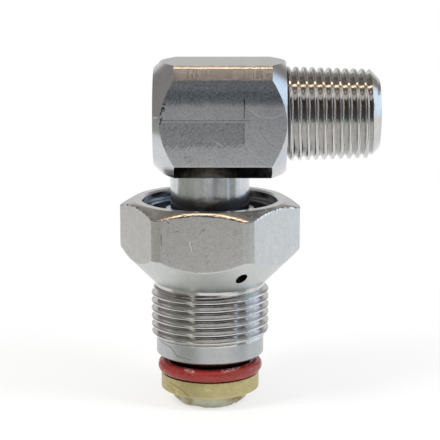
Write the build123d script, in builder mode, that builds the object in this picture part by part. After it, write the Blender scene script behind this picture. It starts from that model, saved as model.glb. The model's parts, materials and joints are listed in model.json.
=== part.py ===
from build123d import *
from math import asin, cos, degrees, radians, sin, sqrt, tan
import os

os.makedirs("parts", exist_ok=True)

# A 90 degree hydraulic swivel joint. Millimetres, +Z up.
# The origin is on the swivel axis, at the port thread's first full turn under the neck.
# The side nipple points along +X, and -Y is the side that a viewer faces.

# Body, turned from hexagon bar
hex_across_flats = 36.0
hex_turned_dia = 40.2  # the corners are turned down to this
hex_turn = -5.0  # degrees that the middle flat is turned from -Y, towards -X
head_top = 20.5  # top face of the hexagon above the origin
top_face_dia = 34.2
top_chamfer_angle = 30.0  # measured from the top face
cone_angle = 45.0  # measured from the swivel axis
neck_dia = 24.6
neck_length = 0.6
port_thread_dia = 26.44  # 3/4 parallel pipe thread, over the crests
port_thread_length = 10.75  # from the origin down to the pilot, with the end chamfer
port_runout = 1.2  # from the origin up to the neck
pilot_dia = 24.1
pilot_length = 4.0
edge_break = 0.4  # small chamfer on turned edges

# Weep hole through the cone
weep_dia = 2.5
weep_height = 3.7  # above the cone's foot
weep_azimuth = 25.6  # degrees from -Y, towards +X

# Deep groove ball bearing, 17 x 30 x 7
bearing_bore = 17.0
bearing_dia = 30.0
bearing_width = 7.0
ball_share = 0.6106154  # ball diameter over the radial height of the rings' section
ball_width_share = 0.6  # the most that a ball may take of the rings' width
ball_count = 10
groove_conformity = 0.52  # groove radius over ball diameter
ball_clearance = 0.02  # between a ball and the bottom of its groove
shoulder_share = 0.16  # height of a groove's shoulder over the ball's diameter
bearing_corner = 0.3
shield_thickness = 0.25
shield_rebate = 0.6  # width of the step that holds a shield
shield_gap = 0.25  # between a shield and the inner ring
cage_side_gap = 0.36946  # between the cage and each ring's shoulder
cage_floor = 0.55  # under each ball
cage_lip = 1.2  # height of the fingers above the balls' centres
cage_clearance = 0.1  # between a ball and its pocket

# Circlips
housing_clip_thickness = 1.2
housing_clip_depth = 0.7  # groove depth in the body
housing_clip_width = 2.7  # widest, opposite the gap
clip_lug_dia = 4.2
clip_hole_dia = 1.8
clip_gap = 5.0  # between the two lugs' centres
spindle_clip_thickness = 1.0
spindle_clip_depth = 0.4  # groove depth in the spindle
spindle_clip_width = 2.3
spindle_lug_dia = 3.6
clip_play = 0.1  # how much wider a groove is than its clip
recess_depth = 2.35  # from the head's top face to the housing circlip

# Spindle
stem_dia = 17.6
stem_spigot_dia = 15.9  # threaded end in the block
collar_dia = 19.8
collar_length = 1.3
seat_tail = 0.9  # seat left below the spindle circlip
journal_dia = 12.0
spindle_bore = 8.5
spindle_end = 1.0  # how far the spindle stops above the nose's end

# Elbow block
axis_height = 39.44  # nipple axis above the origin
bar_drop = 0.6  # nipple axis down to the bar's middle
bar_size = 24.4
bar_chamfer = 2.85
bar_back = 12.3  # swivel axis to the closed end
bar_front = 16.65  # swivel axis to the nipple's end of the bar
back_face_dia = 21.3
front_face_dia = 24.2
nipple_length = 20.5
nipple_dia = 20.9  # 1/2 taper pipe thread, over the crests at the block
nipple_taper = 1 / 16  # on the diameter
nipple_chamfer = 2.2
flow_bore = 10.5
flow_bore_end = 3.5  # how far the bore passes the swivel axis
drill_point_angle = 118.0
socket_depth = 5.6
thread_clearance = 0.05  # radial, between a plain threaded end and its plain hole
washer_thickness = 0.8
washer_dia = 15.0

# Seals and gland bush
web_clearance = 0.3  # radial, round the journal in the body's web
guide_depth = 1.3  # of the guide ring's groove
guide_width = 4.0
guide_height = 2.6  # top of the guide ring's groove
guide_slit = 0.8
running_clearance = 0.05  # radial, on the journal
relief_dia = 24.4
web_height = 4.1  # top of the body's web
gland_top = -4.7  # top of the gland bush
gland_thread_dia = 20.0
gland_neck_dia = 17.5
gland_neck_length = 4.4
gland_collar_dia = 22.1
gland_collar_length = 3.6
spanner_hole_dia = 1.8
spanner_hole_depth = 1.6
spanner_circle_dia = 19.2
seal_dia = 17.0
seal_height = 3.9
seal_lip = 1.5  # depth of the groove between the rod seal's lips
backup_height = 1.3
port_ring_cord = 3.0
nose_dia = 16.6
nose_length = 3.3
nose_spigot_dia = 14.4
nose_spigot_length = 1.75
nose_lip_clearance = 0.35

# Levels on the swivel axis
clip_top = head_top - recess_depth
bearing_top = clip_top - housing_clip_thickness
bearing_bottom = bearing_top - bearing_width
ball_level = bearing_bottom + bearing_width / 2
spindle_clip_bottom = bearing_bottom - spindle_clip_thickness
seat_bottom = spindle_clip_bottom - clip_play - seat_tail
cone_foot = port_runout + neck_length
thread_bottom = -port_thread_length
body_bottom = thread_bottom - pilot_length
gland_collar_top = body_bottom - gland_neck_length
gland_collar_bottom = gland_collar_top - gland_collar_length
nose_spigot_bottom = gland_collar_bottom - nose_spigot_length
nose_bottom = gland_collar_bottom - nose_length
spindle_bottom = nose_bottom + spindle_end
bar_middle = axis_height - bar_drop
bar_bottom = bar_middle - bar_size / 2
socket_top = bar_bottom + socket_depth
spigot_top = socket_top - washer_thickness
pocket_bottom = gland_top - backup_height - seal_height

# Radii that more than one piece shares
neck_r = neck_dia / 2
port_r = port_thread_dia / 2
pilot_r = pilot_dia / 2
journal_r = journal_dia / 2
stem_r = stem_dia / 2
ball_dia = min(ball_share * (bearing_dia - bearing_bore) / 2, ball_width_share * bearing_width)
ball_r = ball_dia / 2
pitch_r = (bearing_bore + bearing_dia) / 4
groove_r = groove_conformity * ball_dia
outer_track_r = pitch_r + ball_r + ball_clearance  # bottom of the outer ring's groove
inner_track_r = pitch_r - ball_r - ball_clearance
outer_land_r = outer_track_r - shoulder_share * ball_dia
inner_land_r = inner_track_r + shoulder_share * ball_dia
shield_seat_r = (outer_track_r + outer_land_r) / 2
cage_outer_r = outer_land_r - cage_side_gap
cage_inner_r = inner_land_r + cage_side_gap
web_r = journal_r + web_clearance
slide_r = journal_r + running_clearance
gland_hole_r = gland_thread_dia / 2
gland_r = gland_hole_r - thread_clearance
seal_r = seal_dia / 2
nose_lip_r = journal_r + nose_lip_clearance

# Hexagon body
cone_rise = tan(radians(cone_angle))
crown_rise = tan(radians(top_chamfer_angle))
crown_apex = head_top + top_face_dia / 2 * crown_rise
turned_r = hex_turned_dia / 2
cone_edge_level = cone_foot + (turned_r - neck_r) / cone_rise
crown_edge_level = crown_apex - turned_r * crown_rise
port_chamfer = port_r - pilot_r

with BuildPart() as hex_body:
    with BuildSketch(Plane.XY.offset(cone_foot)):
        RegularPolygon(hex_across_flats / 2, 6, major_radius=False, rotation=hex_turn)
    extrude(amount=head_top - cone_foot)
    # the turning tool's path rounds the corners and cuts both chamfers
    with BuildSketch(Plane.XZ):
        with BuildLine():
            Polyline(
                (0, cone_foot),
                (neck_r, cone_foot),
                (turned_r, cone_edge_level),
                (turned_r, crown_edge_level),
                (top_face_dia / 2, head_top),
                (0, head_top),
                close=True,
            )
        make_face()
    revolve(axis=Axis.Z, mode=Mode.INTERSECT)
    # neck, plain port thread with its run-out, and pilot
    with BuildSketch(Plane.XZ):
        with BuildLine():
            Polyline(
                (0, cone_foot),
                (neck_r, cone_foot),
                (neck_r, port_runout),
                (port_r, 0),
                (port_r, thread_bottom + port_chamfer),
                (pilot_r, thread_bottom),
                (pilot_r, body_bottom + edge_break),
                (pilot_r - edge_break, body_bottom),
                (0, body_bottom),
                close=True,
            )
        make_face()
    revolve(axis=Axis.Z)
    # bearing bore with its circlip groove, relief, web and the gland's threaded hole
    with BuildSketch(Plane.XZ):
        with BuildLine():
            Polyline(
                (0, head_top),
                (bearing_dia / 2 + edge_break, head_top),
                (bearing_dia / 2, head_top - edge_break),
                (bearing_dia / 2, clip_top + clip_play),
                (bearing_dia / 2 + housing_clip_depth, clip_top + clip_play),
                (bearing_dia / 2 + housing_clip_depth, bearing_top),
                (bearing_dia / 2, bearing_top),
                (bearing_dia / 2, bearing_bottom),
                (relief_dia / 2, bearing_bottom),
                (relief_dia / 2, web_height),
                (web_r, web_height),
                (web_r, guide_height),
                (web_r + guide_depth, guide_height),
                (web_r + guide_depth, guide_height - guide_width),
                (web_r, guide_height - guide_width),
                (web_r, gland_top),
                (gland_hole_r, gland_top),
                (gland_hole_r, body_bottom + edge_break),
                (gland_hole_r + edge_break, body_bottom),
                (0, body_bottom),
                close=True,
            )
        make_face()
    revolve(axis=Axis.Z, mode=Mode.SUBTRACT)
    # weep hole, drilled straight in through the cone to the relief
    weep_start = neck_r + weep_height * cone_rise + weep_dia
    weep_dir = Vector(sin(radians(weep_azimuth)), -cos(radians(weep_azimuth)), 0)
    weep_level = cone_foot + weep_height
    weep_plane = Plane(origin=weep_dir * weep_start + Vector(0, 0, weep_level), z_dir=weep_dir)
    with Locations(weep_plane):
        Hole(weep_dia / 2, weep_start - relief_dia / 4)
hex_body.part.label = "hex_body"
export_step(hex_body.part, "parts/hex_body.step")

# Bearing outer ring
with BuildPart() as bearing_outer_ring:
    with BuildSketch(Plane.XZ):
        with BuildLine():
            Polyline(
                (shield_seat_r, bearing_bottom),
                (bearing_dia / 2 - bearing_corner, bearing_bottom),
                (bearing_dia / 2, bearing_bottom + bearing_corner),
                (bearing_dia / 2, bearing_top - bearing_corner),
                (bearing_dia / 2 - bearing_corner, bearing_top),
                (shield_seat_r, bearing_top),
                (shield_seat_r, bearing_top - shield_rebate),
                (outer_land_r, bearing_top - shield_rebate),
                (outer_land_r, bearing_bottom + shield_rebate),
                (shield_seat_r, bearing_bottom + shield_rebate),
                close=True,
            )
        make_face()
        with Locations((outer_track_r - groove_r, ball_level)):
            Circle(groove_r, mode=Mode.SUBTRACT)
    revolve(axis=Axis.Z)
bearing_outer_ring.part.label = "bearing_outer_ring"
export_step(bearing_outer_ring.part, "parts/bearing_outer_ring.step")

# Bearing inner ring
with BuildPart() as bearing_inner_ring:
    with BuildSketch(Plane.XZ):
        with BuildLine():
            Polyline(
                (bearing_bore / 2, bearing_bottom + bearing_corner),
                (bearing_bore / 2 + bearing_corner, bearing_bottom),
                (inner_land_r, bearing_bottom),
                (inner_land_r, bearing_top),
                (bearing_bore / 2 + bearing_corner, bearing_top),
                (bearing_bore / 2, bearing_top - bearing_corner),
                close=True,
            )
        make_face()
        with Locations((inner_track_r + groove_r, ball_level)):
            Circle(groove_r, mode=Mode.SUBTRACT)
    revolve(axis=Axis.Z)
bearing_inner_ring.part.label = "bearing_inner_ring"
export_step(bearing_inner_ring.part, "parts/bearing_inner_ring.step")

# Snap cage, a crown of fingers with a round pocket for each ball
pocket_r = ball_r + cage_clearance
with BuildPart() as bearing_cage:
    with BuildSketch(Plane.XY.offset(ball_level - pocket_r - cage_floor)):
        Circle(cage_outer_r)
        Circle(cage_inner_r, mode=Mode.SUBTRACT)
    extrude(amount=pocket_r + cage_floor + cage_lip)
    with Locations((0, 0, ball_level)):
        with PolarLocations(pitch_r, ball_count):
            Sphere(pocket_r, mode=Mode.SUBTRACT)
bearing_cage.part.label = "bearing_cage"
export_step(bearing_cage.part, "parts/bearing_cage.step")

# Balls
for number in range(ball_count):
    turn = 360 / ball_count * number
    with BuildPart() as ball:
        with Locations((pitch_r * cos(radians(turn)), pitch_r * sin(radians(turn)), ball_level)):
            Sphere(ball_r)
    name = f"ball_{number + 1:02d}"
    ball.part.label = name
    export_step(ball.part, f"parts/{name}.step")

# Shields, pressed into the outer ring's steps and clear of the inner ring
shield_inner_r = inner_land_r + shield_gap
with BuildPart() as bearing_shield_upper:
    with BuildSketch(Plane.XZ):
        with BuildLine():
            Polyline(
                (shield_inner_r, bearing_top - shield_rebate),
                (shield_seat_r, bearing_top - shield_rebate),
                (shield_seat_r, bearing_top - shield_rebate / 4),
                (shield_seat_r - shield_thickness, bearing_top - shield_rebate / 4),
                (shield_seat_r - shield_thickness, bearing_top - shield_rebate + shield_thickness),
                (shield_inner_r, bearing_top - shield_rebate + shield_thickness),
                close=True,
            )
        make_face()
    revolve(axis=Axis.Z)
bearing_shield_upper.part.label = "bearing_shield_upper"
export_step(bearing_shield_upper.part, "parts/bearing_shield_upper.step")

with BuildPart() as bearing_shield_lower:
    add(bearing_shield_upper.part)
    mirror(about=Plane.XY.offset(ball_level), mode=Mode.REPLACE)
bearing_shield_lower.part.label = "bearing_shield_lower"
export_step(bearing_shield_lower.part, "parts/bearing_shield_lower.step")

# Housing circlip, an eccentric ring with two eyed lugs at its gap
clip_outer_r = bearing_dia / 2 + housing_clip_depth
clip_inner_r = clip_outer_r - housing_clip_width * 0.8
clip_shift = housing_clip_width * 0.2
lug_circle_r = clip_outer_r - clip_lug_dia / 2 - housing_clip_depth
lug_angle = degrees(asin(clip_gap / 2 / lug_circle_r))
with BuildPart() as housing_circlip:
    with BuildSketch(Plane.XY.offset(bearing_top)):
        Circle(clip_outer_r)
        with Locations((0, -clip_shift)):
            Circle(clip_inner_r, mode=Mode.SUBTRACT)
        for side in (-1, 1):
            with PolarLocations(lug_circle_r, 1, start_angle=-90 + side * lug_angle):
                Circle(clip_lug_dia / 2)
        with Locations((0, -clip_outer_r)):
            Rectangle(clip_gap - clip_lug_dia, clip_outer_r, mode=Mode.SUBTRACT)
        for side in (-1, 1):
            with PolarLocations(lug_circle_r, 1, start_angle=-90 + side * lug_angle):
                Circle(clip_hole_dia / 2, mode=Mode.SUBTRACT)
    extrude(amount=housing_clip_thickness)
housing_circlip.part.label = "housing_circlip"
export_step(housing_circlip.part, "parts/housing_circlip.step")

# Spindle circlip, the same kind turned inside out
groove_floor_r = bearing_bore / 2 - spindle_clip_depth
spindle_clip_r = groove_floor_r + spindle_clip_width * 0.8
spindle_lug_r = groove_floor_r + spindle_lug_dia / 2 + spindle_clip_depth / 2
spindle_lug_angle = degrees(asin(clip_gap / 2 / spindle_lug_r))
with BuildPart() as spindle_circlip:
    with BuildSketch(Plane.XY.offset(spindle_clip_bottom)):
        with Locations((0, spindle_clip_width * 0.2)):
            Circle(spindle_clip_r)
        for side in (-1, 1):
            with PolarLocations(spindle_lug_r, 1, start_angle=-90 + side * spindle_lug_angle):
                Circle(spindle_lug_dia / 2)
        Circle(groove_floor_r, mode=Mode.SUBTRACT)
        with Locations((0, -groove_floor_r)):
            Rectangle(clip_gap - spindle_lug_dia, groove_floor_r, mode=Mode.SUBTRACT)
        for side in (-1, 1):
            with PolarLocations(spindle_lug_r, 1, start_angle=-90 + side * spindle_lug_angle):
                Circle(clip_hole_dia / 2, mode=Mode.SUBTRACT)
    extrude(amount=spindle_clip_thickness)
spindle_circlip.part.label = "spindle_circlip"
export_step(spindle_circlip.part, "parts/spindle_circlip.step")

# Spindle, turned and bored through
with BuildPart() as spindle:
    with BuildSketch(Plane.XZ):
        with BuildLine():
            Polyline(
                (spindle_bore / 2, spigot_top),
                (stem_spigot_dia / 2 - edge_break, spigot_top),
                (stem_spigot_dia / 2, spigot_top - edge_break),
                (stem_spigot_dia / 2, bar_bottom),
                (stem_r, bar_bottom),
                (stem_r, bearing_top + collar_length),
                (collar_dia / 2, bearing_top + collar_length),
                (collar_dia / 2, bearing_top),
                (bearing_bore / 2, bearing_top),
                (bearing_bore / 2, bearing_bottom),
                (groove_floor_r, bearing_bottom),
                (groove_floor_r, spindle_clip_bottom - clip_play),
                (bearing_bore / 2, spindle_clip_bottom - clip_play),
                (bearing_bore / 2, seat_bottom + edge_break),
                (bearing_bore / 2 - edge_break, seat_bottom),
                (journal_r, seat_bottom),
                (journal_r, spindle_bottom + edge_break),
                (journal_r - edge_break, spindle_bottom),
                (spindle_bore / 2, spindle_bottom),
                close=True,
            )
        make_face()
    revolve(axis=Axis.Z)
spindle.part.label = "spindle"
export_step(spindle.part, "parts/spindle.step")

# Crush washer between the spindle's end and the bottom of the block's socket
with BuildPart() as stem_washer:
    with BuildSketch(Plane.XY.offset(spigot_top)):
        Circle(washer_dia / 2)
        Circle(spindle_bore / 2, mode=Mode.SUBTRACT)
    extrude(amount=washer_thickness)
stem_washer.part.label = "stem_washer"
export_step(stem_washer.part, "parts/stem_washer.step")

# Elbow block with its nipple, milled from square bar and turned at both ends
bar_length = bar_back + bar_front
corner_r = bar_size / sqrt(2)
back_cone = corner_r - back_face_dia / 2
front_cone = corner_r - front_face_dia / 2
nipple_end = bar_front + nipple_length
nipple_end_r = (nipple_dia - nipple_length * nipple_taper) / 2
flow_r = flow_bore / 2
drill_point = flow_r / tan(radians(drill_point_angle / 2))
bar_axis = Axis((0, 0, bar_middle), (1, 0, 0))
bar_section = Plane(origin=(0, 0, bar_middle), x_dir=(1, 0, 0), z_dir=(0, -1, 0))
nipple_axis = Axis((0, 0, axis_height), (1, 0, 0))
nipple_section = Plane(origin=(0, 0, axis_height), x_dir=(1, 0, 0), z_dir=(0, -1, 0))
socket_r = stem_spigot_dia / 2 + thread_clearance

with BuildPart() as elbow_block:
    with BuildSketch(Plane(origin=(-bar_back, 0, bar_middle), x_dir=(0, 1, 0), z_dir=(1, 0, 0))):
        square = Rectangle(bar_size, bar_size)
        chamfer(square.vertices(), bar_chamfer)
    extrude(amount=bar_length)
    # both ends faced and coned in the lathe, about the bar's own middle
    with BuildSketch(bar_section):
        with BuildLine():
            Polyline(
                (-bar_back, 0),
                (-bar_back, back_face_dia / 2),
                (-bar_back + back_cone, corner_r),
                (bar_front - front_cone, corner_r),
                (bar_front, front_face_dia / 2),
                (bar_front, 0),
                close=True,
            )
        make_face()
    revolve(axis=bar_axis, mode=Mode.INTERSECT)
    # taper nipple, its axis a little above the bar's middle
    with BuildSketch(nipple_section):
        with BuildLine():
            Polyline(
                (0, 0),
                (0, nipple_dia / 2),
                (bar_front, nipple_dia / 2),
                (nipple_end - nipple_chamfer, nipple_end_r + nipple_chamfer * nipple_taper / 2),
                (nipple_end, nipple_end_r - nipple_chamfer),
                (nipple_end, 0),
                close=True,
            )
        make_face()
    revolve(axis=nipple_axis)
    # flow bore with the drill's point, and a small chamfer at its mouth
    with BuildSketch(nipple_section):
        with BuildLine():
            Polyline(
                (-flow_bore_end - drill_point, 0),
                (-flow_bore_end, flow_r),
                (nipple_end - edge_break, flow_r),
                (nipple_end, flow_r + edge_break),
                (nipple_end, 0),
                close=True,
            )
        make_face()
    revolve(axis=nipple_axis, mode=Mode.SUBTRACT)
    # threaded socket for the spindle, and the way up from it
    with BuildSketch(Plane.XY.offset(bar_bottom)):
        Circle(socket_r)
    extrude(amount=socket_depth, mode=Mode.SUBTRACT)
    with BuildSketch(Plane.XY.offset(bar_bottom)):
        Circle(spindle_bore / 2)
    extrude(amount=axis_height - bar_bottom, mode=Mode.SUBTRACT)
elbow_block.part.label = "elbow_block"
export_step(elbow_block.part, "parts/elbow_block.step")

# Guide ring, a split strip in the web's groove
with BuildPart() as guide_ring:
    with BuildSketch(Plane.XY.offset(guide_height - guide_width)):
        Circle(web_r + guide_depth)
        Circle(slide_r, mode=Mode.SUBTRACT)
        with Locations((0, web_r + guide_depth)):
            Rectangle(guide_slit, 2 * guide_depth + 2 * web_clearance + guide_slit, mode=Mode.SUBTRACT)
    extrude(amount=guide_width)
guide_ring.part.label = "guide_ring"
export_step(guide_ring.part, "parts/guide_ring.step")

# Gland bush, brass, screwed into the body's lower end
with BuildPart() as gland_bush:
    with BuildSketch(Plane.XZ):
        with BuildLine():
            Polyline(
                (seal_r, gland_top),
                (gland_r - edge_break, gland_top),
                (gland_r, gland_top - edge_break),
                (gland_r, body_bottom),
                (gland_neck_dia / 2, body_bottom),
                (gland_neck_dia / 2, gland_collar_top),
                (gland_collar_dia / 2, gland_collar_top),
                (gland_collar_dia / 2, gland_collar_bottom),
                (nose_spigot_dia / 2, gland_collar_bottom),
                (nose_spigot_dia / 2, nose_spigot_bottom),
                (slide_r, nose_spigot_bottom),
                (slide_r, pocket_bottom),
                (seal_r, pocket_bottom),
                close=True,
            )
        make_face()
    revolve(axis=Axis.Z)
    with BuildSketch(Plane.XY.offset(gland_collar_bottom)):
        with PolarLocations(spanner_circle_dia / 2, 2):
            Circle(spanner_hole_dia / 2)
    extrude(amount=spanner_hole_depth, mode=Mode.SUBTRACT)
gland_bush.part.label = "gland_bush"
export_step(gland_bush.part, "parts/gland_bush.step")

# Rod seal, a lipped ring with its lips towards the pressure below
seal_wall = (seal_r - slide_r) / 3
with BuildPart() as rod_seal:
    with BuildSketch(Plane.XZ):
        with BuildLine():
            Polyline(
                (slide_r, pocket_bottom),
                (slide_r + seal_wall / 2, pocket_bottom),
                (slide_r + seal_wall, pocket_bottom + seal_lip),
                (seal_r - seal_wall, pocket_bottom + seal_lip),
                (seal_r - seal_wall / 2, pocket_bottom),
                (seal_r, pocket_bottom),
                (seal_r, pocket_bottom + seal_height),
                (slide_r, pocket_bottom + seal_height),
                close=True,
            )
        make_face()
    revolve(axis=Axis.Z)
rod_seal.part.label = "rod_seal"
export_step(rod_seal.part, "parts/rod_seal.step")

# Backup ring, between the rod seal and the body's web
with BuildPart() as backup_ring:
    with BuildSketch(Plane.XY.offset(gland_top - backup_height)):
        Circle(seal_r)
        Circle(slide_r, mode=Mode.SUBTRACT)
    extrude(amount=backup_height)
backup_ring.part.label = "backup_ring"
export_step(backup_ring.part, "parts/backup_ring.step")

# Port O-ring, stretched over the gland's neck and lying on its collar
ring_r = port_ring_cord / 2
with BuildPart() as port_o_ring:
    with BuildSketch(Plane.XZ):
        with Locations((gland_neck_dia / 2 + ring_r, gland_collar_top + ring_r)):
            Circle(ring_r)
    revolve(axis=Axis.Z)
port_o_ring.part.label = "port_o_ring"
export_step(port_o_ring.part, "parts/port_o_ring.step")

# Nose seal, a cap ring over the gland's spigot with an inward lip under the spindle
with BuildPart() as nose_seal:
    with BuildSketch(Plane.XZ):
        with BuildLine():
            Polyline(
                (nose_spigot_dia / 2, gland_collar_bottom),
                (nose_dia / 2, gland_collar_bottom),
                (nose_dia / 2, nose_bottom + edge_break),
                (nose_dia / 2 - edge_break, nose_bottom),
                (nose_lip_r, nose_bottom),
                (nose_lip_r, nose_spigot_bottom),
                (nose_spigot_dia / 2, nose_spigot_bottom),
                close=True,
            )
        make_face()
    revolve(axis=Axis.Z)
nose_seal.part.label = "nose_seal"
export_step(nose_seal.part, "parts/nose_seal.step")
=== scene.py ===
import json
from math import ceil, cos, hypot, pi, radians, sin, sqrt, tan

import bmesh
import bpy
from mathutils import Matrix, Vector, noise


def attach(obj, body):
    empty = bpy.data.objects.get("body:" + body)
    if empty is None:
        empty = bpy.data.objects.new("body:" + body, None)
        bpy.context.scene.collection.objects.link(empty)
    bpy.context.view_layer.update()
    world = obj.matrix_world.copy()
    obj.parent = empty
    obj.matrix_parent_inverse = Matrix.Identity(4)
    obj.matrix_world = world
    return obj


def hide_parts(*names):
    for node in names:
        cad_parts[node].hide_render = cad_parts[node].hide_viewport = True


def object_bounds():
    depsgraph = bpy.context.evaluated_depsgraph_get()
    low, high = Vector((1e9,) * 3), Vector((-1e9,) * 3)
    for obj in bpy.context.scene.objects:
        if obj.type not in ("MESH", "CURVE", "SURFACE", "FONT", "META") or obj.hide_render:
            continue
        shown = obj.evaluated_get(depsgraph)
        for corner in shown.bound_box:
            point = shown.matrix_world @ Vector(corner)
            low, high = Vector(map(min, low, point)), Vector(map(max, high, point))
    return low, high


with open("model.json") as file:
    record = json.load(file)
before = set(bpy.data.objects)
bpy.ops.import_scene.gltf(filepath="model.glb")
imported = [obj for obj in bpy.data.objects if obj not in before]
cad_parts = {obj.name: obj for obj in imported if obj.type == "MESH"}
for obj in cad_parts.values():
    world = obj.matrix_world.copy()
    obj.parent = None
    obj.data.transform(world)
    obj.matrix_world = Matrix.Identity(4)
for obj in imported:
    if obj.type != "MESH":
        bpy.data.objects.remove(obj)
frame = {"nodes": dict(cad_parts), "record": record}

cad_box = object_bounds()
mm = 0.001


# Camera. It stands a little above the joint and square to the nipple, with a long lens,
# as a camera fitted to the edges of the photograph does.
photo_width_px = 440
focal_px = 1600
camera_tilt = radians(11.6)
camera_distance = 357.3 * mm
aim = Vector((2.25 * mm, 0, 15.51 * mm))
camera_data = bpy.data.cameras.new("camera")
camera_data.sensor_width = 36
camera_data.lens = camera_data.sensor_width * focal_px / photo_width_px
camera_data.clip_start = 0.01
camera = bpy.data.objects.new("camera", camera_data)
bpy.context.scene.collection.objects.link(camera)
camera.location = aim + camera_distance * Vector((0, -cos(camera_tilt), sin(camera_tilt)))
camera.rotation_euler = (pi / 2 - camera_tilt, 0, 0)
bpy.context.scene.camera = camera
bpy.context.scene.view_settings.view_transform = "Standard"


# Studio. A white table under a white room, soft lamps above on the left and right,
# and dark cloths and lamps in front that only the polished metal sees.
class Wire:
    """An output in a node tree. Arithmetic on it adds Math nodes."""

    def __init__(self, tree, output=None):
        self.tree = tree
        self.output = output

    def node(self, kind, settings=None, inputs=None, output=0):
        """Adds a node, sets it up, fills its sockets, and returns one of its outputs."""
        made = self.tree.nodes.new(kind)
        for name, value in (settings or {}).items():
            setattr(made, name, value)
        for name, value in (inputs or {}).items():
            if isinstance(value, Wire):
                self.tree.links.new(value.output, made.inputs[name])
            else:
                made.inputs[name].default_value = value
        return Wire(self.tree, made.outputs[output] if made.outputs else None)

    def xyz(self):
        """The three parts of this vector."""
        return [self.node("ShaderNodeSeparateXYZ", inputs={0: self}, output=part) for part in range(3)]

    def math(self, operation, *values):
        return self.node("ShaderNodeMath", {"operation": operation}, dict(enumerate(values)))

    def __add__(self, other):
        return self.math("ADD", self, other)

    def __sub__(self, other):
        return self.math("SUBTRACT", self, other)

    def __rsub__(self, other):
        return self.math("SUBTRACT", other, self)

    def __mul__(self, other):
        return self.math("MULTIPLY", self, other)

    def __truediv__(self, other):
        return self.math("DIVIDE", self, other)

    __radd__ = __add__
    __rmul__ = __mul__

    def apart(self, other=0):
        """How far this is from the other value, either way."""
        return self.math("ABSOLUTE", self - other)

    def larger(self, other):
        return self.math("MAXIMUM", self, other)

    def smaller(self, other):
        return self.math("MINIMUM", self, other)

    def fade(self, start, end):
        """0 up to start, 1 from end on, and smooth between them."""
        settings = {"interpolation_type": "SMOOTHSTEP"}
        if start > end:
            return 1 - self.node("ShaderNodeMapRange", settings, {0: self, 1: end, 2: start})
        return self.node("ShaderNodeMapRange", settings, {0: self, 1: start, 2: end})

    def blend(self, first, second):
        """A colour between two, with this as the share of the second."""
        return self.node("ShaderNodeMix", {"data_type": "RGBA"}, {0: self, 6: first, 7: second}, 2)


def new_tree(name):
    """A material with an empty tree, and a wire to build it from."""
    made = bpy.data.materials.new(name)
    made.use_nodes = True
    made.node_tree.nodes.clear()
    return made, Wire(made.node_tree)


def seen_or_mirrored(tree):
    """1 for rays from the camera and for those that metal or glass sends on, 0 for light."""
    camera_ray, glossy_ray, glass_ray = [
        tree.node("ShaderNodeLightPath", output=f"Is {kind} Ray")
        for kind in ("Camera", "Glossy", "Transmission")
    ]
    return camera_ray.larger(glossy_ray).larger(glass_ray)


world = bpy.data.worlds.new("studio")
world.use_nodes = True
world.node_tree.nodes.clear()
bpy.context.scene.world = world
room = Wire(world.node_tree)
room_light = 0.62
room_level = room_light + seen_or_mirrored(room) * (1 - room_light)
walls = room.node("ShaderNodeBackground", inputs={"Color": (1, 1, 1, 1), "Strength": room_level})
room.node("ShaderNodeOutputWorld", inputs={"Surface": walls})

table_level = cad_box[0].z
bm = bmesh.new()
bmesh.ops.create_circle(bm, cap_ends=True, radius=6, segments=64)
bmesh.ops.translate(bm, verts=bm.verts, vec=(0, 0, table_level))
table_mesh = bpy.data.meshes.new("table")
bm.to_mesh(table_mesh)
bm.free()
table = bpy.data.objects.new("table", table_mesh)
bpy.context.scene.collection.objects.link(table)
table_paint, paint = new_tree("table_paint")
matt = paint.node("ShaderNodeBsdfDiffuse", inputs={"Color": (0.9, 0.9, 0.89, 1)})
glossy = paint.node("ShaderNodeLightPath", output="Is Glossy Ray")
place = paint.node("ShaderNodeTexCoord", output="Object")
away = place.node("ShaderNodeVectorMath", {"operation": "LENGTH"}, {0: place}, "Value")
table_glow = away.fade(0.03, 0.13) * 0.35 + 0.65
x, y = place.xyz()[:2]
# the metal sees the table darker at both sides of its front, and far off on the left
shaded = ((x - 0.02).apart() + y * 0.5).fade(0.0, 0.03) * (0 - y).fade(0.0, 0.03)
shaded = shaded.larger((0 - x).fade(0.1, 0.15) * y.fade(0.09, 0.05) * away.fade(0.18, 0.21))
table_colour = (shaded * glossy).blend((1, 1, 1, 1), (0.38, 0.4, 0.355, 1))
white = paint.node("ShaderNodeEmission", inputs={"Color": table_colour})
shine = seen_or_mirrored(paint) * table_glow
top = paint.node("ShaderNodeMixShader", inputs={0: shine, 1: matt, 2: white})
paint.node("ShaderNodeOutputMaterial", inputs={"Surface": top})
table_mesh.materials.append(table_paint)


def finish_cloth(cloth, colour, cover):
    """Ends a cloth's tree: it glows in its colour where cover is 1, and is open where it is 0."""
    glowing = cloth.node("ShaderNodeEmission", inputs={"Color": colour, "Strength": 1})
    open_air = cloth.node("ShaderNodeBsdfTransparent")
    hung = cloth.node("ShaderNodeMixShader", inputs={0: cover, 1: open_air, 2: glowing})
    cloth.node("ShaderNodeOutputMaterial", inputs={"Surface": hung})


def hang(bm, name, cloth_paint):
    """Hangs a cloth or a lit strip where only the polished metal sees it."""
    mesh = bpy.data.meshes.new(name)
    bm.to_mesh(mesh)
    bm.free()
    mesh.materials.append(cloth_paint)
    hanging = bpy.data.objects.new(name, mesh)
    bpy.context.scene.collection.objects.link(hanging)
    hanging.visible_camera = False
    hanging.visible_diffuse = False
    hanging.visible_shadow = False
    hanging.visible_transmission = False


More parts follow.
